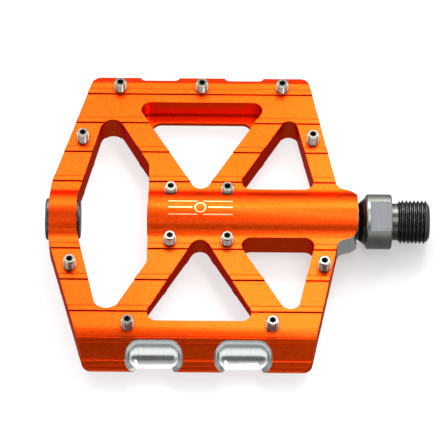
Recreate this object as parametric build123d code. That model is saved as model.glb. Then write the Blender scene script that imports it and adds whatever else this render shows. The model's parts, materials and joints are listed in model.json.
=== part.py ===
from build123d import *
import math
import os

# Flat pedal for the left crank: a milled platform that spins on a short spindle.
# Everything is laid out with X = 0 at the middle of the platform, and moved at the end so that
# the origin is the centre of the crank shoulder, where the spindle seats on the crank arm.
# X runs along the spindle towards the crank, Y across the platform, Z up. Sizes in mm.
SHOULDER_X = 62.5

# How far a cutter reaches past the material, and past the whole platform
OVERSHOOT = 1.0
CUT_REACH = 20.0

# Platform extrusion, seen along X. It looks the same turned half a turn about the spindle.
DECK_Z = 4.3
EDGE_Y = 57.9
EDGE_Z = 2.0
FACET_Y = 53.5
BEVEL_Y = 46.7
BEVEL_ROUND = 10.0
EDGE_ROUND = 0.5
BARREL_R = 9.0
BARREL_BLEND = 4.0

# Grip ribs on the decks and on the bevels, with a fine groove along both sides of each
RIB_WIDTH = 1.9
RIB_HEIGHT = 0.4
RIB_FOOT = 0.5
RIB_ROUND = 0.15
RIB_GROOVE_WIDTH = 0.3
RIB_GROOVE_DEPTH = 0.25
FIRST_RIB_Y = 13.4
RIB_PITCH = 12.1
RIBS_FAR = 4
RIBS_NEAR = 3
BEVEL_RIB_Y = (48.8, 55.2)

# Platform plan
LEFT_X = -49.3
LEFT_KNEE_Y = 10.9
LEFT_KNEE_R = 14.0
LEFT_CORNER_X = -36.0
RIGHT_CORNER_X = 35.3
RIGHT_KNEE = (44.9, 10.6)
RIGHT_KNEE_R = 3.2
BARREL_END_X = 51.3
BARREL_END_Y = 8.8
BARREL_END_R = 4.2
PLAN_CORNER_R = 5.0

# Windows through the platform
MILL_R = 3.2
LIP = 1.5
FAR_BASE_Y = 45.4
FAR_BASE_X = 22.7
FAR_APEX_Y = 6.6
NEAR_BASE_Y = 42.0
NEAR_BASE_X = 18.85
NEAR_APEX_Y = 7.1
ARM_X = -40.3
ARM_KNEE_Y = 7.3
ARM_KNEE_R = 22.0
SIDE_APEX = (-31.3, 44.85)
SIDE_APEX_R = 4.2
BARREL_START_X = -17.1
SIDE_CORNER_Y = 19.5
CRANK_WINDOW = ((11.05, 9.6), (37.9, 9.6), (30.5, 42.6))
CRANK_APEX_R = 3.0

# Round-ended scoops in the long edges
SCOOP_R = 5.7
SCOOP_LENGTH = 18.4
SCOOP_END_ROUND = 4.5
SCOOP_X = 14.2
SCOOP_Y = 54.5
SCOOP_Z = 2.3

# Traction pins: M4 set screws
PIN_R = 1.98
PIN_ROOT_R = 1.72
PIN_PITCH = 0.7
PIN_CREST = 0.2
PIN_ROOT = 0.06
PIN_LENGTH = 8.0
PIN_TIP_Z = 8.1
PIN_CHAMFER = 0.35
PIN_SOCKET_AF = 2.0
PIN_SOCKET_DEPTH = 2.2
TAPPED_HOLE_R = 2.0
TAPPED_HOLE_SPARE = 0.2
SHORT_PIN_LENGTH = 6.0
DECK_PINS = (
    (-27.5, 51.0), (0.0, 51.0), (27.0, 51.0),
    (-39.4, 29.8), (37.1, 29.8),
    (-41.9, -21.0), (40.2, -20.9),
    (-22.7, -43.9), (23.4, -43.9),
)
BARREL_PINS = ((-9.8, 8.2), (8.8, 8.2), (-9.8, -11.5), (8.8, -11.5))

# Bore of the barrel
OUTBOARD_BORE_R = 6.0
MIDDLE_BORE_R = 5.4
RELIEF_BORE_R = 6.6
RELIEF_START_X = 14.0
BUSHING_START_X = 34.0
BUSHING_END_X = 48.6
BUSHING_R = 7.5
BUSHING_CLEARANCE = 0.03
SEAL_R = 7.9
SEAL_END_X = 50.8
SEAL_CLEARANCE = 0.06
SEAL_LIP_LEAD = 0.8
SEAL_LIP_WIDTH = 0.5
SEAL_LIP_HEIGHT = 0.5

# Spindle. The neck is the flare from the journal to the collar, as (x, radius) points
COLLAR_R = 9.0
COLLAR_CHAMFER = 0.4
NECK = ((51.7, 6.0), (52.0, 6.3), (53.1, 7.2), (53.8, 7.8), (54.2, 8.7), (54.6, 9.0))
FLAT_AF = 15.0
FLAT_START_X = 55.4
FLAT_TILT = 21.0
JOURNAL_R = 6.0
JOURNAL_START_X = 32.0
SHANK_R = 4.6
SHANK_START_X = 12.0
SEAT_R = 3.0
SEAT_SHOULDER_R = 3.7
SEAT_SHOULDER_WIDTH = 1.0
STUD_END_X = -12.8
STUD_R = 2.98
STUD_ROOT_R = 2.6
STUD_PITCH = 1.0
STUD_CREST = 0.3
STUD_ROOT = 0.1
THREAD_R = 14.288 / 2
THREAD_PITCH = 25.4 / 20
THREAD_ROOT_R = 6.35
THREAD_CREST = 0.2
THREAD_ROOT = 0.16
THREAD_RINGS = 8
THREAD_START_X = SHOULDER_X + 2.4
THREAD_END_X = SHOULDER_X + 12.4
THREAD_END_CHAMFER = 0.3
RELIEF_R = 6.05
RELIEF_RAMP = 0.35
SPINDLE_SOCKET_AF = 6.0
SPINDLE_SOCKET_DEPTH = 8.0

# Two 6 x 12 x 4 ball bearings with a spacer between them
BEARING_OD_R = 6.0
BEARING_WIDTH = 4.0
BEARING_SPACING = 1.5
BEARING_STOP_X = 3.3
BEARING_OUTER_X = BEARING_STOP_X - 2 * BEARING_WIDTH - BEARING_SPACING
BALL_R = 0.794
BALL_COUNT = 9
BALL_PITCH_R = 4.5
RACE_CLEARANCE = 0.02
INNER_LAND_R = 3.95
OUTER_LAND_R = 5.05
SHIELD_THICKNESS = 0.25
SHIELD_INSET = 0.1
SHIELD_SEAT_DEPTH = 0.35
SHIELD_CLEARANCE = 0.08
CAGE_HALF_WIDTH = 1.05
CAGE_HALF_HEIGHT = 0.28
CAGE_POCKET_CLEARANCE = 0.05

# Nut, washer, retaining ring and caps
NUT_AF = 10.0
NUT_HEIGHT = 5.0
WASHER_R = 4.4
WASHER_THICKNESS = 1.0
WASHER_CLEARANCE = 0.1
NUT_FACE_X = BEARING_OUTER_X - WASHER_THICKNESS
RING_OUTER_R = 6.3
RING_INNER_R = 5.2
RING_THICKNESS = 0.9
RING_GAP = 2.4
CAP_DEPTH = 2.4
CAP_PROUD = 0.3
CAP_FACE_R = 5.5
CAP_CHAMFER = 0.2
CAP_EDGE = 0.4
CAP_HOLLOW_R = 3.4
CAP_GROOVE_X = BARREL_START_X + 1.4
CAP_SLOT = (1.2, 7.0, 0.5)
O_RING_DEPTH = 1.0
O_RING_WIDTH = 1.2
O_RING_SECTION_R = 0.48
PLUG_R = 6.5
PLUG_HEAD_R = 6.9
PLUG_HEAD = 1.3
PLUG_CHAMFER = 0.5
PLUG_END_X = ARM_X + 1.0
PLUG_SOCKET_AF = 8.0
PLUG_SOCKET_DEPTH = 6.5
PLUG_GROOVE_X = -42.3


def rounded_face(corners):
    """A flat outline in the XY plane; each corner is (x, y, rounding radius)."""
    wire = Polyline([(x, y) for x, y, _ in corners], close=True)
    face = make_face(wire)
    for x, y, radius in corners:
        corner = face.vertices().sort_by_distance((x, y, 0))[0]
        face = fillet(corner, radius)
    return face


def prism(face, low, high):
    """The upright block over a flat outline, from one height to another."""
    return extrude(Pos(0, 0, low) * face, amount=high - low)


def turned(profile):
    """A solid turned about the spindle axis from the closed outline of (x, radius) points."""
    return revolve(make_face(Polyline(profile, close=True)), Axis.X)


def thread_rings(start, pitch, count, crest, root, crest_r, root_r):
    """(x, radius) points of a thread drawn as a row of rings, from the first crest to the last."""
    points = []
    for turn in range(count):
        low = start + turn * pitch
        valley = low + (pitch + crest) / 2
        points += [(low, crest_r), (low + crest, crest_r)]
        points += [(valley - root / 2, root_r), (valley + root / 2, root_r)]
    return points[:-2]


def ring(x_low, x_high, r_inner, r_outer):
    """A plain ring about the spindle axis."""
    inner = [(x_low, r_inner), (x_high, r_inner)]
    outer = [(x_high, r_outer), (x_low, r_outer)]
    return turned(inner + outer)


def hexagon_block(across_flats, x_low, x_high):
    """A hexagonal bar along the spindle axis."""
    outline = Plane.YZ * RegularPolygon(across_flats / 2, 6, major_radius=False)
    return extrude(Pos(x_low, 0, 0) * outline, amount=x_high - x_low)


def o_ring(x, bore_r):
    """A rubber ring lying in the groove at x, just inside a bore."""
    return Pos(x, 0, 0) * Rot(0, 90, 0) * Torus(bore_r - O_RING_DEPTH / 2, O_RING_SECTION_R)


def o_ring_groove(x, bore_r):
    half = O_RING_WIDTH / 2
    return ring(x - half, x + half, bore_r - O_RING_DEPTH, bore_r + OVERSHOOT)


def half_turned(shape):
    """The same shape turned half a turn about the spindle axis."""
    return shape.rotate(Axis.X, 180)


# ---- platform ----

def rib_places():
    """Where the upper side's ribs stand, as seen along X, each turned to face out of its surface."""
    ys = [FIRST_RIB_Y + step * RIB_PITCH for step in range(RIBS_FAR)]
    ys += [-FIRST_RIB_Y - step * RIB_PITCH for step in range(RIBS_NEAR)]
    places = [Pos(y, DECK_Z) for y in ys]
    slope = math.atan2(DECK_Z + EDGE_Z, EDGE_Y - BEVEL_Y)
    for y in BEVEL_RIB_Y:
        z = DECK_Z - (y - BEVEL_Y) * math.tan(slope)
        places.append(Pos(-y, z) * Rot(0, 0, math.degrees(slope)))
    return places


def extrusion_section():
    """The platform's outline as seen along X."""
    corners = (
        (-BEVEL_Y, DECK_Z), (FACET_Y, DECK_Z), (EDGE_Y, EDGE_Z),
        (BEVEL_Y, -DECK_Z), (-FACET_Y, -DECK_Z), (-EDGE_Y, -EDGE_Z),
    )
    plate = make_face(Polyline(corners, close=True))
    for y, z, radius in (
        (-BEVEL_Y, DECK_Z, BEVEL_ROUND), (BEVEL_Y, -DECK_Z, BEVEL_ROUND),
        (EDGE_Y, EDGE_Z, EDGE_ROUND), (-EDGE_Y, -EDGE_Z, EDGE_ROUND),
    ):
        plate = fillet(plate.vertices().sort_by_distance((y, z, 0))[0], radius)
    section = plate + Circle(BARREL_R)
    meet_y = math.sqrt(BARREL_R**2 - DECK_Z**2)
    for y in (-meet_y, meet_y):
        for z in (-DECK_Z, DECK_Z):
            section = fillet(section.vertices().sort_by_distance((y, z, 0))[0], BARREL_BLEND)
    upper = rib_places()
    places = upper + [Rot(0, 0, 180) * place for place in upper]
    rib_middle = Pos(0, (RIB_HEIGHT - RIB_FOOT) / 2)
    rib = rib_middle * RectangleRounded(RIB_WIDTH, RIB_HEIGHT + RIB_FOOT, RIB_ROUND)
    groove = Rectangle(RIB_WIDTH + 2 * RIB_GROOVE_WIDTH, 2 * RIB_GROOVE_DEPTH)
    return section - [place * groove for place in places] + [place * rib for place in places]


def platform_plan():
    """The platform's outline from above, the same on both sides of the spindle."""
    one_side = [
        (LEFT_X, LEFT_KNEE_Y, LEFT_KNEE_R),
        (LEFT_CORNER_X, EDGE_Y, PLAN_CORNER_R),
        (RIGHT_CORNER_X, EDGE_Y, PLAN_CORNER_R),
        (*RIGHT_KNEE, RIGHT_KNEE_R),
        (BARREL_END_X, BARREL_END_Y, BARREL_END_R),
    ]
    other_side = [(x, -y, r) for x, y, r in reversed(one_side)]
    return rounded_face(one_side + other_side)


def triangle_window(base_x, base_y, apex_y):
    return rounded_face([(-base_x, base_y, MILL_R), (base_x, base_y, MILL_R), (0, apex_y, MILL_R)])


def window_cuts():
    """Cutters for the five windows. The two middle ones are milled from both sides, which leaves a lip."""
    wide = triangle_window(FAR_BASE_X, FAR_BASE_Y, FAR_APEX_Y)
    narrow = triangle_window(NEAR_BASE_X, NEAR_BASE_Y, NEAR_APEX_Y)
    pocket = prism(wide, LIP - DECK_Z, CUT_REACH)
    through = prism(narrow, -CUT_REACH, CUT_REACH)
    cuts = [pocket, through, half_turned(pocket), half_turned(through)]
    arm_side = [
        (ARM_X, ARM_KNEE_Y, ARM_KNEE_R),
        (*SIDE_APEX, SIDE_APEX_R),
        (BARREL_START_X, SIDE_CORNER_Y, MILL_R),
    ]
    arm_window = rounded_face(arm_side + [(x, -y, r) for x, y, r in reversed(arm_side)])
    cuts.append(prism(arm_window, -CUT_REACH, CUT_REACH))
    crank_window = rounded_face(
        [(*CRANK_WINDOW[0], MILL_R), (*CRANK_WINDOW[1], MILL_R), (*CRANK_WINDOW[2], CRANK_APEX_R)]
    )
    crank_cut = prism(crank_window, -CUT_REACH, CUT_REACH)
    cuts += [crank_cut, half_turned(crank_cut)]
    return cuts


def edge_scoop(x):
    """One scoop at the near edge: a drum lying along X with its ends rounded over."""
    drum = Rot(0, 90, 0) * Cylinder(SCOOP_R, SCOOP_LENGTH)
    drum = fillet(drum.edges().filter_by(GeomType.CIRCLE), SCOOP_END_ROUND)
    return Pos(x, -SCOOP_Y, SCOOP_Z) * drum


def scoop_cuts():
    near = [edge_scoop(-SCOOP_X), edge_scoop(SCOOP_X)]
    return near + [half_turned(scoop) for scoop in near]


def pin_hole(x, y, length):
    bottom = PIN_TIP_Z - length - TAPPED_HOLE_SPARE
    depth = CUT_REACH - bottom
    return Pos(x, y, bottom + depth / 2) * Cylinder(TAPPED_HOLE_R, depth)


def pin_hole_cuts():
    upper = [pin_hole(x, y, PIN_LENGTH) for x, y in DECK_PINS]
    upper += [pin_hole(x, y, SHORT_PIN_LENGTH) for x, y in BARREL_PINS]
    return upper + [half_turned(hole) for hole in upper]


def barrel_bore():
    """The stepped bore: bearings at the outboard end, bushing and seal at the crank end."""
    bore = turned([
        (BARREL_START_X - OVERSHOOT, 0), (BARREL_START_X - OVERSHOOT, OUTBOARD_BORE_R),
        (BEARING_STOP_X, OUTBOARD_BORE_R), (BEARING_STOP_X, MIDDLE_BORE_R),
        (RELIEF_START_X, MIDDLE_BORE_R), (RELIEF_START_X, RELIEF_BORE_R),
        (BUSHING_START_X, RELIEF_BORE_R), (BUSHING_START_X, BUSHING_R),
        (BUSHING_END_X, BUSHING_R), (BUSHING_END_X, SEAL_R),
        (BARREL_END_X + OVERSHOOT, SEAL_R), (BARREL_END_X + OVERSHOOT, 0),
    ])
    groove_start = BEARING_OUTER_X - RING_THICKNESS
    groove = ring(groove_start, BEARING_OUTER_X, OUTBOARD_BORE_R - OVERSHOOT, RING_OUTER_R)
    return [bore, groove]


def plug_bore():
    return ring(LEFT_X - OVERSHOOT, ARM_X + OVERSHOOT, 0.0, PLUG_R)


def pedal_body():
    section = Plane.YZ * extrusion_section()
    length = BARREL_END_X - LEFT_X + 2 * OVERSHOOT
    bar = extrude(Pos(LEFT_X - OVERSHOOT, 0, 0) * section, amount=length)
    body = bar & prism(platform_plan(), -CUT_REACH, CUT_REACH)
    body -= window_cuts()
    body -= scoop_cuts()
    body -= pin_hole_cuts()
    body -= barrel_bore()
    body -= plug_bore()
    return body


# ---- traction pins ----

def set_screw(length):
    """An upright set screw with its tip at the origin; the thread is a row of rings."""
    threaded = length - 2 * PIN_CHAMFER - PIN_CREST
    count = int(threaded / PIN_PITCH) + 1
    rings = thread_rings(PIN_CHAMFER, PIN_PITCH, count, PIN_CREST, PIN_ROOT, PIN_R, PIN_ROOT_R)
    tip = [(0, 0), (0, PIN_R - PIN_CHAMFER)]
    foot = [(length - PIN_CHAMFER, PIN_R), (length, PIN_R - PIN_CHAMFER), (length, 0)]
    socket = hexagon_block(PIN_SOCKET_AF, -OVERSHOOT, PIN_SOCKET_DEPTH)
    return Rot(0, 90, 0) * (turned(tip + rings + foot) - socket)


def upper_pins():
    long_pin = set_screw(PIN_LENGTH)
    short_pin = set_screw(SHORT_PIN_LENGTH)
    pins = [Pos(x, y, PIN_TIP_Z) * long_pin for x, y in DECK_PINS]
    pins += [Pos(x, y, PIN_TIP_Z) * short_pin for x, y in BARREL_PINS]
    return pins


# ---- spindle and what it carries ----

def spindle_blank():
    """The spindle as it leaves the lathe; both threads are rows of rings at the thread's pitch."""
    stud_length = NUT_FACE_X - STUD_END_X - STUD_CREST
    stud = thread_rings(
        STUD_END_X + STUD_CREST, STUD_PITCH, int(stud_length / STUD_PITCH) + 1,
        STUD_CREST, STUD_ROOT, STUD_R, STUD_ROOT_R,
    )
    shank = [
        (NUT_FACE_X, STUD_ROOT_R), (NUT_FACE_X, SEAT_R),
        (BEARING_STOP_X, SEAT_R), (BEARING_STOP_X, SEAT_SHOULDER_R),
        (BEARING_STOP_X + SEAT_SHOULDER_WIDTH, SEAT_SHOULDER_R),
        (BEARING_STOP_X + 2 * SEAT_SHOULDER_WIDTH, SHANK_R),
        (SHANK_START_X, SHANK_R), (JOURNAL_START_X, JOURNAL_R),
    ]
    collar = [
        (SHOULDER_X - COLLAR_CHAMFER, COLLAR_R), (SHOULDER_X, COLLAR_R - COLLAR_CHAMFER),
        (SHOULDER_X, RELIEF_R), (THREAD_START_X - RELIEF_RAMP, RELIEF_R),
    ]
    crank_thread = thread_rings(
        THREAD_START_X, THREAD_PITCH, THREAD_RINGS,
        THREAD_CREST, THREAD_ROOT, THREAD_R, THREAD_ROOT_R,
    )
    end = [
        (THREAD_END_X - THREAD_END_CHAMFER, RELIEF_R), (THREAD_END_X, RELIEF_R - THREAD_END_CHAMFER),
        (THREAD_END_X, 0),
    ]
    start = [(STUD_END_X, 0), (STUD_END_X, STUD_ROOT_R)]
    return turned(start + stud + shank + list(NECK) + collar + crank_thread + end)


def spindle():
    """The steel spindle: the turned blank with two wrench flats and a hexagon socket."""
    width = SHOULDER_X + OVERSHOOT - FLAT_START_X
    middle = FLAT_START_X + width / 2
    cutter = Pos(middle, 0, (FLAT_AF + COLLAR_R) / 2) * Box(width, 4 * COLLAR_R, COLLAR_R)
    cutter = cutter.rotate(Axis.X, FLAT_TILT)
    thread_side = ring(SHOULDER_X, SHOULDER_X + 2 * OVERSHOOT, 0.0, THREAD_ROOT_R)
    flats = [cutter - thread_side, half_turned(cutter) - thread_side]
    socket_start = THREAD_END_X - SPINDLE_SOCKET_DEPTH
    socket = hexagon_block(SPINDLE_SOCKET_AF, socket_start, THREAD_END_X + OVERSHOOT)
    return spindle_blank() - flats - socket


def lock_washer():
    return ring(NUT_FACE_X, BEARING_OUTER_X, SEAT_R + WASHER_CLEARANCE, WASHER_R)


def lock_nut():
    start = NUT_FACE_X - NUT_HEIGHT
    return hexagon_block(NUT_AF, start, NUT_FACE_X) - ring(start, NUT_FACE_X, 0.0, SEAT_R)


def bearing_spacer():
    end = BEARING_STOP_X - BEARING_WIDTH
    return ring(end - BEARING_SPACING, end, SEAT_R, SEAT_SHOULDER_R)


# ---- ball bearings ----

def bearing_parts(stop_x):
    """One bearing whose crank-side face is at stop_x: rings, balls, cage and two shields."""
    start = stop_x - BEARING_WIDTH
    middle = start + BEARING_WIDTH / 2
    race = Pos(middle, 0, 0) * Rot(0, 90, 0) * Torus(BALL_PITCH_R, BALL_R + RACE_CLEARANCE)
    seat_r = OUTER_LAND_R + SHIELD_SEAT_DEPTH
    shield_starts = (start + SHIELD_INSET, stop_x - SHIELD_INSET - SHIELD_THICKNESS)
    shields = [
        ring(x, x + SHIELD_THICKNESS, INNER_LAND_R + SHIELD_CLEARANCE, seat_r) for x in shield_starts
    ]
    outer_ring = ring(start, stop_x, OUTER_LAND_R, BEARING_OD_R) - race - shields
    inner_ring = ring(start, stop_x, SEAT_R, INNER_LAND_R) - race
    balls = []
    pockets = []
    for index in range(BALL_COUNT):
        angle = 2 * math.pi * index / BALL_COUNT
        place = Pos(middle, BALL_PITCH_R * math.cos(angle), BALL_PITCH_R * math.sin(angle))
        balls.append(place * Sphere(BALL_R))
        pockets.append(place * Sphere(BALL_R + CAGE_POCKET_CLEARANCE))
    cage = ring(
        middle - CAGE_HALF_WIDTH, middle + CAGE_HALF_WIDTH,
        BALL_PITCH_R - CAGE_HALF_HEIGHT, BALL_PITCH_R + CAGE_HALF_HEIGHT,
    ) - pockets
    return {
        "outer_ring": [outer_ring],
        "inner_ring": [inner_ring],
        "balls": balls,
        "cage": [cage],
        "shields": shields,
    }


# ---- bushing, seals, retaining ring and caps ----

def bushing():
    return ring(BUSHING_START_X, BUSHING_END_X, JOURNAL_R + BUSHING_CLEARANCE, BUSHING_R)


def crank_seal():
    """The rubber lip seal at the crank end of the bore."""
    lip_r = JOURNAL_R + SEAL_CLEARANCE
    lip_start = BUSHING_END_X + SEAL_LIP_LEAD
    return turned([
        (BUSHING_END_X, SEAL_R), (BUSHING_END_X, lip_r + SEAL_LIP_HEIGHT),
        (lip_start, lip_r), (lip_start + SEAL_LIP_WIDTH, lip_r),
        (SEAL_END_X, lip_r + SEAL_LIP_HEIGHT), (SEAL_END_X, SEAL_R),
    ])


def retaining_ring():
    start = BEARING_OUTER_X - RING_THICKNESS
    middle = start + RING_THICKNESS / 2
    split = Pos(middle, 0, -RING_OUTER_R) * Box(2 * RING_THICKNESS, RING_GAP, 2 * RING_OUTER_R)
    return ring(start, BEARING_OUTER_X, RING_INNER_R, RING_OUTER_R) - split


def dust_cap():
    """Threaded cap in the outboard end of the bore, with a groove for its O-ring and a coin slot."""
    face_x = BARREL_START_X - CAP_PROUD
    inner_x = BARREL_START_X + CAP_DEPTH
    hollow_x = BARREL_START_X + CAP_DEPTH / 2
    blank = turned([
        (face_x, 0), (face_x, CAP_FACE_R - CAP_CHAMFER), (face_x + CAP_CHAMFER, CAP_FACE_R),
        (BARREL_START_X, CAP_FACE_R), (BARREL_START_X + CAP_EDGE, OUTBOARD_BORE_R),
        (inner_x, OUTBOARD_BORE_R), (inner_x, CAP_HOLLOW_R), (hollow_x, CAP_HOLLOW_R), (hollow_x, 0),
    ])
    width, height, depth = CAP_SLOT
    slot = Pos(face_x, 0, 0) * Box(2 * depth, width, height)
    return blank - slot - o_ring_groove(CAP_GROOVE_X, OUTBOARD_BORE_R)


def access_plug():
    """Plug in the outer arm: it closes the hole through which the lock nut is reached."""
    head_x = LEFT_X - PLUG_HEAD
    blank = turned([
        (head_x, 0), (head_x, PLUG_HEAD_R - PLUG_CHAMFER), (head_x + PLUG_CHAMFER, PLUG_HEAD_R),
        (LEFT_X, PLUG_HEAD_R), (LEFT_X, PLUG_R),
        (PLUG_END_X - PLUG_CHAMFER, PLUG_R), (PLUG_END_X, PLUG_R - PLUG_CHAMFER), (PLUG_END_X, 0),
    ])
    socket = hexagon_block(PLUG_SOCKET_AF, head_x - OVERSHOOT, head_x + PLUG_SOCKET_DEPTH)
    return blank - socket - o_ring_groove(PLUG_GROOVE_X, PLUG_R)


def write_node(name, shapes):
    """Write one node, moved so that the crank shoulder is at X = 0."""
    solids = [solid for shape in shapes for solid in (Pos(-SHOULDER_X, 0, 0) * shape).solids()]
    node = solids[0] if len(solids) == 1 else Compound(children=solids)
    export_step(node, os.path.join("parts", name + ".step"))


def main():
    os.makedirs("parts", exist_ok=True)
    pins = upper_pins()
    nodes = {
        "pedal_body": [pedal_body()],
        "traction_pins_top": pins,
        "traction_pins_bottom": [half_turned(pin) for pin in pins],
        "spindle": [spindle()],
        "lock_nut": [lock_nut()],
        "lock_washer": [lock_washer()],
        "bearing_spacer": [bearing_spacer()],
        "bushing": [bushing()],
        "crank_seal": [crank_seal()],
        "retaining_ring": [retaining_ring()],
        "dust_cap": [dust_cap()],
        "dust_cap_o_ring": [o_ring(CAP_GROOVE_X, OUTBOARD_BORE_R)],
        "access_plug": [access_plug()],
        "access_plug_o_ring": [o_ring(PLUG_GROOVE_X, PLUG_R)],
    }
    stops = {
        "inner_bearing": BEARING_STOP_X,
        "outer_bearing": BEARING_STOP_X - BEARING_WIDTH - BEARING_SPACING,
    }
    for bearing, stop_x in stops.items():
        for piece, shapes in bearing_parts(stop_x).items():
            nodes[bearing + "_" + piece] = shapes
    for name, shapes in nodes.items():
        write_node(name, shapes)


main()
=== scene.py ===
import json
import math

import bpy
from mathutils import Matrix, Vector

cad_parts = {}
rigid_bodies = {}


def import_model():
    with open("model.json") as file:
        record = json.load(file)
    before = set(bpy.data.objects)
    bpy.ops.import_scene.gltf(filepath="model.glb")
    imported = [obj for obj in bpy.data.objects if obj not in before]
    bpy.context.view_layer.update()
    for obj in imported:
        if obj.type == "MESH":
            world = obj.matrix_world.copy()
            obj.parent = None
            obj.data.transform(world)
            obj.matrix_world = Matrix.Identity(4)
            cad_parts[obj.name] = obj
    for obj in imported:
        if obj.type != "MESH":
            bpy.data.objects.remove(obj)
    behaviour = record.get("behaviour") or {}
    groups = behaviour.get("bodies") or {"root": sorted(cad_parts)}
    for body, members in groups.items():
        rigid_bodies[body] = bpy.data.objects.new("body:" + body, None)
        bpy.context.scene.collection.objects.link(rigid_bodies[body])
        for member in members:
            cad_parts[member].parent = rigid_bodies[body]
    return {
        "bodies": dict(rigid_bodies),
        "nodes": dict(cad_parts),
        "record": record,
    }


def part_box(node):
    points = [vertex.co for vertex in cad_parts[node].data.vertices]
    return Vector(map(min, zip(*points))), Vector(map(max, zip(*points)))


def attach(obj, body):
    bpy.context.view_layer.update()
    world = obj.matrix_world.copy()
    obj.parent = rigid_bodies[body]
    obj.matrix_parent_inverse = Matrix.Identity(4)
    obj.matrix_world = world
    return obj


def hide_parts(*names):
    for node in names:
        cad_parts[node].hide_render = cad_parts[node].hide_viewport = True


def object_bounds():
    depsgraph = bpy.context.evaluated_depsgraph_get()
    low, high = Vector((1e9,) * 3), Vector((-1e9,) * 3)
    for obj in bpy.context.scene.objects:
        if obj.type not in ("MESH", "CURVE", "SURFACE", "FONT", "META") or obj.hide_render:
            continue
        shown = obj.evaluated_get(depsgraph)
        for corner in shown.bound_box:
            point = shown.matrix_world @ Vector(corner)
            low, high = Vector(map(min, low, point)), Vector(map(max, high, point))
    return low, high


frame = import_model()
cad_low, cad_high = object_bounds()

MM = 0.001

# ---- places read from the frame ----

PLATFORM_REACH = 49.3 * MM
PLATFORM_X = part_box("pedal_body")[0].x + PLATFORM_REACH
STUD_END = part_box("lock_nut")[1].x
spindle_low, spindle_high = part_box("spindle")
MOUNTS = {mount["name"]: mount for mount in frame["record"]["mounts"]}
THREAD_CREST_R = MOUNTS["crank_thread"]["dims"]["r_mm"] * MM


# ---- node trees ----

AO_SAMPLES = 6
BEVEL_SAMPLES = 4


class Tree:
    """A short way to build a node tree: add() makes a node, and fills or links its inputs."""

    def __init__(self, tree):
        self.tree = tree
        tree.nodes.clear()

    def add(self, kind, inputs=None, **settings):
        node = self.tree.nodes.new("ShaderNode" + kind)
        for key, value in settings.items():
            setattr(node, key, value)
        for key, value in (inputs or {}).items():
            if isinstance(value, bpy.types.NodeSocket):
                self.tree.links.new(value, node.inputs[key])
            else:
                node.inputs[key].default_value = value
        return node

    def math(self, operation, a, b=0.0, c=0.0):
        return self.add("Math", {0: a, 1: b, 2: c}, operation=operation).outputs[0]

    def hypotenuse(self, a, b):
        squares = self.math("MULTIPLY_ADD", a, a, self.math("MULTIPLY", b, b))
        return self.math("SQRT", squares)

    def mix(self, factor, a, b):
        node = self.add("Mix", data_type="RGBA")
        for index, value in ((0, factor), (6, a), (7, b)):
            if isinstance(value, bpy.types.NodeSocket):
                self.tree.links.new(value, node.inputs[index])
            else:
                node.inputs[index].default_value = value
        return node.outputs[2]

    def fade(self, value, low, high, start=0.0, end=1.0, **settings):
        """Goes from start to end as value goes from low to high, and stays level beyond them."""
        inputs = {
            "Value": value, "From Min": low, "From Max": high, "To Min": start, "To Max": end,
        }
        return self.add("MapRange", inputs, **settings).outputs[0]

    def blend(self, factor, a, b):
        """A number that goes from a to b as factor goes from 0 to 1."""
        return self.fade(factor, 0.0, 1.0, a, b)

    def all_of(self, *masks):
        """1 where every mask is 1."""
        product = masks[0]
        for mask in masks[1:]:
            product = self.math("MULTIPLY", product, mask)
        return product

    def ramp(self, factor, stops):
        node = self.add("ValToRGB", {"Fac": factor})
        elements = node.color_ramp.elements
        for element, (place, value) in zip(elements, (stops[0], stops[-1])):
            element.position = place
            element.color = (*value, 1.0)
        for place, value in stops[1:-1]:
            elements.new(place).color = (*value, 1.0)
        return node.outputs["Color"]

    def noise(self, vector, scale, detail=2.0, roughness=0.5):
        inputs = {"Vector": vector, "Scale": scale, "Detail": detail, "Roughness": roughness}
        return self.add("TexNoise", inputs).outputs["Fac"]

    def openness(self, reach, low, high):
        """How open a point is: 0 deep in a groove or a socket, 1 on an open face."""
        inputs = {"Distance": reach}
        unblocked = self.add("AmbientOcclusion", inputs, samples=AO_SAMPLES).outputs["AO"]
        return self.fade(unblocked, low, high)

    def stretched(self, vector, x, y, z):
        return self.add("Mapping", {"Vector": vector, "Scale": (x, y, z)}).outputs[0]


def grey(value):
    return (value, value, value)


def rgba(colour):
    return (*colour, 1.0)


def new_material(name):
    material = bpy.data.materials.new(name)
    material.use_nodes = True
    return material, Tree(material.node_tree)


def close_material(tree, edge_radius, bump, bump_distance, inputs):
    """Ends a tree with a Principled shader that has slightly rounded edges and a fine bump."""
    rounded = tree.add("Bevel", {"Radius": edge_radius}, samples=BEVEL_SAMPLES).outputs[0]
    relief = {"Strength": 1.0, "Distance": bump_distance, "Height": bump, "Normal": rounded}
    normal = tree.add("Bump", relief).outputs[0]
    shader = tree.add("BsdfPrincipled", {"Normal": normal, **inputs})
    tree.add("OutputMaterial", {"Surface": shader.outputs[0]})


# ---- materials ----

DYE = (0.80, 0.072, 0.0027)
DYE_DEEP = (0.74, 0.042, 0.0012)
DYE_CLOUD = (0.74, 0.054, 0.0015)
DYE_EDGE = (0.9, 0.26, 0.07)
# Painted shade, mixed into grooves and recesses
GROOVE_PAINTED_SHADE = (0.36, 0.024, 0.001)
ENGRAVED = (0.95, 0.42, 0.22)
BARE_DARK = (0.52, 0.55, 0.54)
BARE_LIGHT = (0.76, 0.78, 0.78)
BARE_ROUGHNESS = 0.2
DYED_ROUGHNESS = (0.28, 0.42)
COAT_WEIGHT = 0.06

# How finely each pattern repeats, per metre; a stretched pattern is coarse along its lines
GRAIN_SCALE = 1200.0
CLOUD_SCALE = 170.0
DRAWN_STRETCH = (60.0, 3600.0, 3600.0)
MILLED_STRETCH = (3600.0, 260.0, 260.0)

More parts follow.
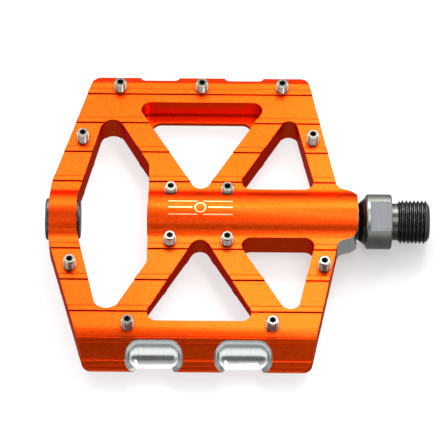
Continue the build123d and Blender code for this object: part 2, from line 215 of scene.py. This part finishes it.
# A plain mark on the barrel: three lines that break round a small ring, on both sides
MARK_MIDDLE = -1.0 * MM
MARK_HALF_LENGTH = 10.5 * MM
MARK_HALF_PITCH = 2.4 * MM
MARK_WIDTH = 0.36 * MM
MARK_RING = 1.7 * MM
MARK_BREAK = 2.6 * MM
MARK_LOWEST = 7.0 * MM

# How far the painted shade in grooves reaches, and the openness over which it fades in
GROOVE_REACH = 1.1 * MM
GROOVE_OPENNESS = (0.66, 0.97)
BEVEL_Y = 47.0 * MM
BEVEL_Z = 2.2 * MM

SCOOP_R = 5.7 * MM
SCOOP_X = 14.2 * MM
SCOOP_Y = 54.5 * MM
SCOOP_Z = 2.3 * MM
SCOOP_HALF = 9.2 * MM
SCOOP_ROUND = 4.5 * MM
MASK_SLACK = 0.08 * MM

FACED_START_X = 41.0 * MM
FACED_END_X = 51.2 * MM
FACED_Y = 12.1 * MM
WALL_NORMAL_Z = 0.5


def scoop_mask(tree, x, y, z):
    """1 inside the four scoops, which are cut after the anodising."""
    along = tree.math("SUBTRACT", tree.math("ABSOLUTE", x), SCOOP_X)
    along = tree.math("SUBTRACT", tree.math("ABSOLUTE", along), SCOOP_HALF - SCOOP_ROUND)
    along = tree.math("MAXIMUM", along, 0.0)
    across = tree.math("SUBTRACT", tree.math("ABSOLUTE", y), SCOOP_Y)
    up = tree.math("ADD", tree.math("MULTIPLY", z, tree.math("SIGN", y)), SCOOP_Z)
    out = tree.hypotenuse(across, up)
    out = tree.math("MAXIMUM", tree.math("SUBTRACT", out, SCOOP_R - SCOOP_ROUND), 0.0)
    return tree.math("LESS_THAN", tree.hypotenuse(along, out), SCOOP_ROUND + MASK_SLACK)


def bevel_mask(tree, y, z):
    """1 on the long bevels at the near top edge and the far bottom edge."""
    up = tree.math("MULTIPLY", z, tree.math("SIGN", y))
    return tree.all_of(
        tree.math("GREATER_THAN", tree.math("ABSOLUTE", y), BEVEL_Y),
        tree.math("LESS_THAN", up, BEVEL_Z),
    )


def faced_end_mask(tree, x, y, normal_z):
    """1 on the walls beside the crank end of the barrel, which are faced after the anodising."""
    return tree.all_of(
        tree.math("GREATER_THAN", x, FACED_START_X),
        tree.math("LESS_THAN", x, FACED_END_X),
        tree.math("LESS_THAN", tree.math("ABSOLUTE", y), FACED_Y),
        tree.math("LESS_THAN", tree.math("ABSOLUTE", normal_z), WALL_NORMAL_Z),
    )


def mark_mask(tree, x, y, z):
    """1 on the engraved lines and ring; the underside carries the same mark turned half a turn."""
    y = tree.math("SUBTRACT", tree.math("MULTIPLY", y, tree.math("SIGN", z)), MARK_MIDDLE)
    out = tree.hypotenuse(x, y)
    fold = tree.math("ABSOLUTE", y)
    outer = tree.math("ABSOLUTE", tree.math("SUBTRACT", fold, MARK_HALF_PITCH))
    line = tree.all_of(
        tree.math("LESS_THAN", tree.math("MINIMUM", fold, outer), MARK_WIDTH / 2),
        tree.math("GREATER_THAN", out, MARK_BREAK),
        tree.math("LESS_THAN", tree.math("ABSOLUTE", x), MARK_HALF_LENGTH),
    )
    rim = tree.math("ABSOLUTE", tree.math("SUBTRACT", out, MARK_RING))
    rim = tree.math("LESS_THAN", rim, MARK_WIDTH / 2)
    high = tree.math("GREATER_THAN", tree.math("ABSOLUTE", z), MARK_LOWEST)
    return tree.all_of(tree.math("MAXIMUM", line, rim), high)


def anodised_orange():
    """Dyed, blasted aluminium with a fine mottled grain and painted shade in its grooves; bare
    metal where it is cut afterwards.
    """
    material, tree = new_material("anodised_orange")
    place = tree.add("TexCoord").outputs["Object"]
    axes = tree.add("SeparateXYZ", {0: place})
    x = tree.math("SUBTRACT", axes.outputs[0], PLATFORM_X)
    y, z = axes.outputs[1], axes.outputs[2]
    facing = tree.add("SeparateXYZ", {0: tree.add("TexCoord").outputs["Normal"]})
    faced = faced_end_mask(tree, x, y, facing.outputs[2])
    bare = tree.math("MAXIMUM", scoop_mask(tree, x, y, z), faced)
    grain = tree.noise(place, GRAIN_SCALE, 4.0, 0.75)
    cloud = tree.noise(place, CLOUD_SCALE, 3.0, 0.6)
    drawn = tree.noise(tree.stretched(place, *DRAWN_STRETCH), 1.0)
    mill = tree.noise(tree.stretched(place, *MILLED_STRETCH), 1.0)
    dye = tree.mix(tree.blend(grain, -1.6, 2.6), rgba(DYE_DEEP), rgba(DYE))
    dye = tree.mix(tree.blend(cloud, -0.5, 0.9), dye, rgba(DYE_CLOUD))
    # Painted shade: the dye turns deep red where an occlusion test finds a groove or recess, but
    # not on the bevels
    open_face = tree.openness(GROOVE_REACH, *GROOVE_OPENNESS)
    unshaded = tree.math("MAXIMUM", open_face, bevel_mask(tree, y, z))
    dye = tree.mix(unshaded, rgba(GROOVE_PAINTED_SHADE), dye)
    dye = tree.mix(mark_mask(tree, x, y, z), dye, rgba(ENGRAVED))
    metal = tree.mix(mill, rgba(BARE_DARK), rgba(BARE_LIGHT))
    rough = tree.blend(grain, *DYED_ROUGHNESS)
    height = tree.math("MULTIPLY_ADD", drawn, 0.4, grain)
    close_material(tree, 0.18 * MM, tree.mix(bare, height, mill), 0.018 * MM, {
        "Base Color": tree.mix(bare, dye, metal),
        "Metallic": 1.0,
        "Roughness": tree.blend(bare, rough, BARE_ROUGHNESS),
        "Specular Tint": tree.mix(bare, rgba(DYE_EDGE), rgba(grey(1.0))),
        "Coat Weight": tree.blend(bare, COAT_WEIGHT, 0.0),
        "Coat Roughness": 0.22,
        "Coat IOR": 1.45,
    })
    return material


STEEL_EDGE = 0.12 * MM
# Reach and openness of the painted shade in grooves and sockets
HOLLOW_SHADE_REACH = 1.6 * MM
HOLLOW_SHADE_OPENNESS = (0.3, 0.8)
LEVEL_NORMAL_Z = 0.93


def plain_metal(name, colour, roughness, scale=900.0, contrast=0.18, hollow=0.4, face=1.0):
    """A machined metal with a cloudy tint and fine scratches that run round the part.

    contrast is how far the tint strays either way. hollow sets the painted shade in grooves and
    sockets, and face sets the painted shade on the surfaces that lie level, such as the tops of
    the pins.
    """
    material, tree = new_material(name)
    coordinates = tree.add("TexCoord")
    place = coordinates.outputs["Object"]
    marks = tree.noise(tree.stretched(place, scale * 4, scale / 6, scale / 6), 1.0, 3.0, 0.6)
    cloud = tree.noise(place, scale / 3, 3.0, 0.6)
    darker = tuple(c * (1 - contrast) for c in colour)
    lighter = tuple(min(1.0, c * (1 + contrast)) for c in colour)
    tint = tree.mix(tree.blend(marks, 0.0, 1.0), rgba(darker), rgba(lighter))
    tint = tree.mix(tree.blend(cloud, 0.0, 0.35), tint, rgba(darker))
    # Painted shade: grooves and sockets, found by an occlusion test, are darkened by hollow
    painted_hollow_shade = rgba(tuple(c * hollow for c in colour))
    tint = tree.mix(tree.openness(HOLLOW_SHADE_REACH, *HOLLOW_SHADE_OPENNESS), painted_hollow_shade, tint)
    # Painted shade: faces that lie level, such as the pin tops, are darkened by face
    upright = tree.add("SeparateXYZ", {0: coordinates.outputs["Normal"]}).outputs[2]
    level = tree.math("GREATER_THAN", tree.math("ABSOLUTE", upright), LEVEL_NORMAL_Z)
    painted_level_shade = tree.mix(level, rgba(grey(1.0)), rgba(grey(face)))
    tint = tree.add("VectorMath", {0: tint, 1: painted_level_shade}, operation="MULTIPLY").outputs[0]
    close_material(tree, STEEL_EDGE, marks, 0.006 * MM, {
        "Base Color": tint,
        "Metallic": 1.0,
        "Roughness": tree.blend(cloud, roughness * 0.75, roughness * 1.35),
    })
    return material


def rubber():
    """Matt black rubber with a fine grain."""
    material, tree = new_material("seal_rubber")
    grain = tree.noise(tree.add("TexCoord").outputs["Object"], 3000.0, 3.0, 0.6)
    black, worn = (0.012, 0.012, 0.012), (0.035, 0.034, 0.033)
    close_material(tree, 0.1 * MM, grain, 0.01 * MM, {
        "Base Color": tree.mix(grain, rgba(black), rgba(worn)),
        "Roughness": tree.blend(grain, 0.55, 0.8),
    })
    return material


def wrench_flat():
    """The ground flats: pale grey, with grinding marks that run round the spindle."""
    material, tree = new_material("wrench_flat")
    place = tree.add("TexCoord").outputs["Object"]
    lines = tree.noise(tree.stretched(place, 4200.0, 90.0, 90.0), 1.0, 4.0, 0.7)
    cloud = tree.noise(place, 420.0)
    dark, light, clouded = (0.09, 0.094, 0.098), (0.21, 0.218, 0.226), (0.13, 0.135, 0.14)
    tint = tree.mix(lines, rgba(dark), rgba(light))
    tint = tree.mix(tree.blend(cloud, 0.0, 0.3), tint, rgba(clouded))
    close_material(tree, 0.15 * MM, lines, 0.012 * MM, {
        "Base Color": tint,
        "Metallic": 0.85,
        "Roughness": tree.blend(lines, 0.34, 0.5),
    })
    return material


MATERIALS = {
    "anodised_orange": anodised_orange(),
    "pin_steel": plain_metal(
        "pin_steel", (0.44, 0.44, 0.38), 0.14, scale=1400.0, hollow=0.15, face=0.35
    ),
    "spindle_steel": plain_metal("spindle_steel", (0.085, 0.087, 0.080), 0.24, contrast=0.4),
    "bearing_steel": plain_metal("bearing_steel", (0.62, 0.62, 0.64), 0.10),
    "cage_steel": plain_metal("cage_steel", (0.50, 0.48, 0.42), 0.30),
    "nut_steel": plain_metal("nut_steel", (0.52, 0.51, 0.48), 0.25),
    "spring_steel": plain_metal("spring_steel", (0.16, 0.15, 0.15), 0.35),
    "bushing_bronze": plain_metal("bushing_bronze", (0.45, 0.28, 0.14), 0.35),
    "seal_rubber": rubber(),
    "cap_dark": plain_metal("cap_dark", (0.09, 0.09, 0.09), 0.30, contrast=0.3),
    "plug_dark": plain_metal("plug_dark", (0.10, 0.105, 0.10), 0.24, contrast=0.3),
    "collar_steel": plain_metal("collar_steel", (0.20, 0.21, 0.19), 0.28, contrast=0.35),
    "wrench_flat": wrench_flat(),
}

for part in frame["record"]["subparts"]:
    shown = frame["nodes"][part["node"]]
    shown.data.materials.clear()
    shown.data.materials.append(MATERIALS[part["material_slot"]])


# ---- turned and threaded steel ----

COLUMNS = 120
STEP = 0.02 * MM
LEFT_HAND, RIGHT_HAND = -1, 1

COLLAR_R = 9.0 * MM
COLLAR_CHAMFER = 0.4 * MM
COLLAR_START = -8.5 * MM
FLAT_HALF = 7.5 * MM
FLAT_TILT = math.radians(21.0)
FLAT_START = -7.1 * MM
FLAT_MATCH = 0.999

# Turned profiles as (x, radius) in millimetres, from the bearing seats to the collar
SHANK = (
    (-59.2, 3.0), (-59.18, 3.7), (-58.2, 3.7), (-57.2, 4.6), (-50.5, 4.6), (-30.5, 6.0),
)
NECK = ((-10.8, 6.0), (-10.5, 6.3), (-9.4, 7.2), (-8.7, 7.8), (-8.3, 8.7), (-7.9, 9.0))

STUD_TIP_R = 2.3 * MM
STUD_R = 2.98 * MM
STUD_ROOT_R = 2.6 * MM
STUD_PITCH = 1.0 * MM
STUD_CREST = 0.2 * MM
STUD_ROOT = 0.1 * MM
STUD_CHAMFER = 0.3 * MM
STUD_LEAD = 0.4 * MM
STUD_ROWS = 90
SEAT_R = 3.0 * MM

RELIEF_R = 6.05 * MM
THREAD_ROOT_R = 6.35 * MM
THREAD_PITCH = 25.4 / 20 * MM
THREAD_CREST = 0.18 * MM
THREAD_ROOT = 0.14 * MM
THREAD_ROWS = 200
THREAD_FIRST = 1.6 * MM
THREAD_RAMP = 2.05 * MM
RELIEF_END = THREAD_FIRST + MM
LEAD_IN_SLOPE = 1.6
LEAD_OUT_SLOPE = 1.5
END_R = 5.3 * MM

SOCKET_HALF = 3.0 * MM
SOCKET_DEPTH = 8.0 * MM
SOCKET_CONE = 1.6 * MM
SOCKET_TIP_R = 0.2 * MM
SOCKET_CHAMFER = 0.35 * MM

CAD_SMOOTH = 28
TURNED_SMOOTH = 24


def thread_radius(x, angle, pitch, crest, root, crest_r, root_r, hand):
    """Radius of a helical thread along the X axis. crest and root are widths of their flats."""
    phase = (x - hand * pitch * angle / (2 * math.pi)) / pitch % 1.0
    off = abs(phase - 0.5) * pitch
    slope = (off - root / 2) / (pitch / 2 - root / 2 - crest / 2)
    return root_r + (crest_r - root_r) * min(1.0, max(0.0, slope))


def flat_radius(angle, half, tilt):
    """Radius of two parallel flats at this angle from +Y towards +Z."""
    lean = abs(math.cos(angle - (math.pi / 2 + tilt)))
    return half / lean if lean > 1e-6 else math.inf


def hexagon_radius(angle, half):
    sector = math.pi / 3
    return half / math.cos((angle + sector / 2) % sector - sector / 2)


def turned_mesh(name, stations, angles):
    """A closed mesh about the X axis. A station is (x, radius); radius may depend on the angle."""
    verts, faces = [], []
    for x, radius in stations:
        for angle in angles:
            r = radius(angle) if callable(radius) else radius
            verts.append((x, r * math.cos(angle), r * math.sin(angle)))
    count = len(angles)
    for row in range(len(stations) - 1):
        for column in range(count):
            a = row * count + column
            b = row * count + (column + 1) % count
            faces.append((a, b, b + count, a + count))
    for row, order in ((0, -1), (len(stations) - 1, 1)):
        centre = len(verts)
        verts.append((stations[row][0], 0.0, 0.0))
        for column in range(count):
            a = row * count + column
            b = row * count + (column + 1) % count
            faces.append((centre, a, b)[::order])
    mesh = bpy.data.meshes.new(name)
    mesh.from_pydata(verts, [], faces)
    mesh.validate()
    return mesh


def smooth_by_angle(piece, degrees):
    """Smooth shading that stays sharp where two faces meet at more than the angle."""
    mesh = piece.data
    mesh.shade_smooth()
    mesh.set_sharp_from_angle(angle=math.radians(degrees))


def spindle_angles():
    corner = math.acos(FLAT_HALF / COLLAR_R)
    inner = math.acos(FLAT_HALF / (COLLAR_R - COLLAR_CHAMFER))
    angles = {2 * math.pi * step / COLUMNS for step in range(COLUMNS)}
    for middle in (math.pi / 2 + FLAT_TILT, -math.pi / 2 + FLAT_TILT):
        for reach in (corner, inner):
            angles.update(((middle - reach) % (2 * math.pi), (middle + reach) % (2 * math.pi)))
    return sorted(angles)


def stud_thread(x):
    return lambda angle: thread_radius(
        x, angle, STUD_PITCH, STUD_CREST, STUD_ROOT, STUD_R, STUD_ROOT_R, RIGHT_HAND
    )


def crank_thread(x):
    """The thread at x, with the relief behind it and a chamfer at each end."""
    lead_in = RELIEF_R + max(0.0, x - THREAD_RAMP) * LEAD_IN_SLOPE
    lead_out = END_R + (spindle_high.x - x) * LEAD_OUT_SLOPE
    least = RELIEF_R if x < RELIEF_END else 0.0
    return lambda angle: max(least, min(lead_in, lead_out, thread_radius(
        x, angle, THREAD_PITCH, THREAD_CREST, THREAD_ROOT, THREAD_CREST_R, THREAD_ROOT_R,
        LEFT_HAND,
    )))


def collar(r):
    """The round collar, cut by the two wrench flats."""
    return lambda angle: min(r, flat_radius(angle, FLAT_HALF, FLAT_TILT))


def hexagon(half):
    return lambda angle: hexagon_radius(angle, half)


def evenly(start, end, rows):
    """rows + 1 places from start to end."""
    return [start + (end - start) * row / rows for row in range(rows + 1)]


def spindle_stations():
    """The spindle's outside from the nut's stud to the crank end, then its hex socket."""
    socket_floor = spindle_high.x - SOCKET_DEPTH
    stations = [(spindle_low.x, STUD_TIP_R), (spindle_low.x + STUD_CHAMFER, STUD_ROOT_R)]
    for x in evenly(spindle_low.x + STUD_LEAD, STUD_END, STUD_ROWS):
        stations.append((x, stud_thread(x)))
    stations += [(STUD_END + STEP, STUD_ROOT_R), (STUD_END + 2 * STEP, SEAT_R)]
    stations += [(x * MM, r * MM) for x, r in SHANK + NECK]
    stations += [
        (FLAT_START, COLLAR_R),
        (FLAT_START + STEP, collar(COLLAR_R)),
        (-COLLAR_CHAMFER, collar(COLLAR_R)),
        (0.0, collar(COLLAR_R - COLLAR_CHAMFER)),
        (STEP, RELIEF_R),
    ]
    for x in evenly(THREAD_FIRST, spindle_high.x, THREAD_ROWS):
        stations.append((x, crank_thread(x)))
    stations += [
        (spindle_high.x, hexagon(SOCKET_HALF + SOCKET_CHAMFER)),
        (spindle_high.x - SOCKET_CHAMFER, hexagon(SOCKET_HALF)),
        (socket_floor, hexagon(SOCKET_HALF)),
        (socket_floor - SOCKET_CONE, SOCKET_TIP_R),
    ]
    return stations


def make_spindle():
    """Replaces the CAD spindle by the same shape with a true helix and three finishes."""
    mesh = turned_mesh("spindle_turned", spindle_stations(), spindle_angles())
    piece = bpy.data.objects.new("spindle_turned", mesh)
    bpy.context.scene.collection.objects.link(piece)
    for finish in ("spindle_steel", "wrench_flat", "collar_steel"):
        mesh.materials.append(MATERIALS[finish])
    flat_normal = Vector((0.0, -math.sin(FLAT_TILT), math.cos(FLAT_TILT)))
    for face in mesh.polygons:
        faces_flat = abs(face.normal.dot(flat_normal)) > FLAT_MATCH
        if faces_flat and FLAT_START < face.center.x < 0:
            face.material_index = 1
        elif COLLAR_START < face.center.x < 0:
            face.material_index = 2
    smooth_by_angle(piece, TURNED_SMOOTH)
    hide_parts("spindle")
    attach(piece, "spindle_assembly")


make_spindle()

for name in frame["nodes"]:
    if name != "spindle":
        smooth_by_angle(frame["nodes"][name], CAD_SMOOTH)


# ---- floor, light and camera ----

TARGET = Vector((-0.0551, -0.001, 0.0))
CAMERA_TILT = math.radians(35.0)
CAMERA_DISTANCE = 0.9
CAMERA_ROLL = math.radians(0.47)
CAMERA_LENS = 221.6
CAMERA_SENSOR = 36.0

FLOOR_HALF = 3.0
FLOOR_GAP = 0.5 * MM
FIBRE_SCALE = 900.0
PAPER_DARK, PAPER_LIGHT = 0.34, 0.36

# Painted light on the paper: its glow lifts the shadows, least under the spindle, and reflections
# see a painted shade near the object; given as (near, far) distances in metres and the (near, far)
# strengths there
SPINDLE_SHADE = Vector((0.008, -0.010, 0.0))
SHADE_REACH, SHADE_GLOW = (0.016, 0.046), (0.40, 0.64)
MIRROR_REACH, MIRROR_GLOW = (0.06, 0.22), (0.32, 0.9)

# How bright the sky is, at degrees from straight up, positive towards the far side
SKY_STRENGTH = 5.0
SKY = (
    (-120, 0.18), (-90, 0.24), (-66, 0.28), (-40, 0.24), (-20, 0.12), (8, 0.10),
    (24, 0.30), (36, 0.44), (62, 0.62), (76, 0.50), (86, 0.10), (120, 0.10),
)

# A dark card that paints a dark reflection onto the near bevel
FLAG_HALF_X, FLAG_HALF_Y = 0.07, 0.015
FLAG_GLOW = 0.12
FLAG_FORWARD = 0.016
FLAG_HEIGHT = 0.042
FLAG_TILT = math.radians(28.0)


def make_card(name, half_x, half_y, material):
    """A flat rectangle of the stage."""
    mesh = bpy.data.meshes.new(name)
    corners = ((-half_x, -half_y), (half_x, -half_y), (half_x, half_y), (-half_x, half_y))
    mesh.from_pydata([(x, y, 0.0) for x, y in corners], [], [(0, 1, 2, 3)])
    mesh.materials.append(material)
    card = bpy.data.objects.new(name, mesh)
    bpy.context.scene.collection.objects.link(card)
    return card


def floor_paper():
    """Pale paper with a painted glow that lifts its shadows, least under the spindle. Reflections
    see a painted shade on it, dimmest close by.
    """
    material, tree = new_material("floor_paper")
    place = tree.add("TexCoord").outputs["Object"]
    fibre = tree.noise(place, FIBRE_SCALE)
    around = tree.add("VectorMath", {0: place, 1: SPINDLE_SHADE}, operation="DISTANCE")
    lift = tree.fade(
        around.outputs["Value"], *SHADE_REACH, *SHADE_GLOW, interpolation_type="SMOOTHSTEP"
    )
    paper = tree.add("BsdfPrincipled", {
        "Base Color": tree.mix(fibre, rgba(grey(PAPER_DARK)), rgba(grey(PAPER_LIGHT))),
        "Roughness": 1.0,
        "Specular IOR Level": 0.0,
        "Emission Color": rgba(grey(1.0)),
        "Emission Strength": lift,
    })
    away = tree.add("VectorMath", {0: place, 1: TARGET}, operation="DISTANCE")
    mirrored = tree.fade(away.outputs["Value"], *MIRROR_REACH, *MIRROR_GLOW)
    glow = tree.add("Emission", {"Strength": mirrored})
    eye = tree.add("LightPath").outputs["Is Camera Ray"]
    both = tree.add("MixShader", {0: eye, 1: glow.outputs[0], 2: paper.outputs[0]})
    tree.add("OutputMaterial", {"Surface": both.outputs[0]})
    return material


def make_floor():
    """The floor drops as the platform turns on its spindle, so that the object stays on it."""
    floor = make_card("floor", FLOOR_HALF, FLOOR_HALF, floor_paper())
    floor.location.z = cad_low.z
    drop = floor.driver_add("location", 2).driver
    turn = drop.variables.new()
    turn.name = "turn"
    turn.type = "TRANSFORMS"
    turn.targets[0].id = frame["bodies"]["platform"]
    turn.targets[0].transform_type = "ROT_X"
    turn.targets[0].transform_space = "WORLD_SPACE"
    reach, rise = cad_high.y + FLOOR_GAP, -cad_low.z
    drop.expression = f"-max({rise:.5f}, {reach:.5f} * abs(sin(turn)) + 0.002 * abs(cos(turn)))"


def make_world():
    """A studio: dark overhead and bright beyond the object, but plain white to the eye."""
    world = bpy.data.worlds.new("studio")
    world.use_nodes = True
    bpy.context.scene.world = world
    tree = Tree(world.node_tree)
    way = tree.add("SeparateXYZ", {0: tree.add("TexCoord").outputs["Generated"]})
    angle = tree.math("ARCTAN2", way.outputs[1], way.outputs[2])
    place = tree.math("MULTIPLY_ADD", angle, 0.5 / math.pi, 0.5)
    stops = [(0.5 + degrees / 360.0, grey(level)) for degrees, level in SKY]
    light = tree.add("Background", {"Color": tree.ramp(place, stops), "Strength": SKY_STRENGTH})
    seen = tree.add("Background", {"Color": rgba(grey(1.0)), "Strength": 1.0})
    eye = tree.add("LightPath").outputs["Is Camera Ray"]
    both = tree.add("MixShader", {0: eye, 1: light.outputs[0], 2: seen.outputs[0]})
    tree.add("OutputWorld", {"Surface": both.outputs[0]})


def make_flag():
    """A small dark card near the front edge. Only reflections see it: it paints a dark reflection
    onto the bevel.
    """
    material, tree = new_material("flag_black")
    glow = tree.add("Emission", {"Strength": FLAG_GLOW})
    tree.add("OutputMaterial", {"Surface": glow.outputs[0]})
    flag = make_card("flag", FLAG_HALF_X, FLAG_HALF_Y, material)
    flag.location = (TARGET.x, cad_low.y - FLAG_FORWARD, FLAG_HEIGHT)
    flag.rotation_euler.x = FLAG_TILT
    flag.visible_camera = False
    flag.visible_diffuse = False
    flag.visible_shadow = False


def lean(degrees, x):
    """A direction that leans this far from straight up towards the far side, and sideways by x."""
    return (x, math.sin(math.radians(degrees)), math.cos(math.radians(degrees)))


def make_softbox(name, direction, distance, width, height, radiance):
    """A rectangular lamp that faces the object; its power follows from how bright its face is."""
    lamp = bpy.data.lights.new(name, "AREA")
    lamp.shape = "RECTANGLE"
    lamp.size = width
    lamp.size_y = height
    lamp.energy = radiance * math.pi * width * height
    holder = bpy.data.objects.new(name, lamp)
    towards = Vector(direction).normalized()
    holder.location = TARGET + towards * distance
    holder.rotation_mode = "QUATERNION"
    holder.rotation_quaternion = towards.to_track_quat("Z", "Y")
    holder.visible_camera = False
    bpy.context.scene.collection.objects.link(holder)


def make_camera():
    """The photo's view: from the near side, well above the deck, with a long lens."""
    lens = bpy.data.cameras.new("camera")
    lens.lens = CAMERA_LENS
    lens.sensor_width = CAMERA_SENSOR
    holder = bpy.data.objects.new("camera", lens)
    back = Vector((0.0, -math.sin(CAMERA_TILT), math.cos(CAMERA_TILT)))
    holder.location = TARGET + back * CAMERA_DISTANCE
    look = (-back).to_track_quat("-Z", "Y").to_matrix().to_4x4()
    roll = Matrix.Rotation(CAMERA_ROLL, 4, "Z")
    holder.matrix_world = Matrix.Translation(holder.location) @ look @ roll
    bpy.context.scene.collection.objects.link(holder)
    bpy.context.scene.camera = holder


make_floor()
make_world()
make_flag()
make_softbox(
    "right_softbox", lean(38.0, 0.30), distance=0.45, width=0.16, height=0.24, radiance=10.0
)
make_softbox(
    "overhead_strip", (0.15, 0.075, 1.0), distance=0.17, width=0.26, height=0.036, radiance=6.5
)
make_softbox(
    "left_softbox", lean(42.0, -0.34), distance=0.45, width=0.12, height=0.22, radiance=4.5
)
make_camera()
bpy.context.scene.view_settings.view_transform = "Standard"
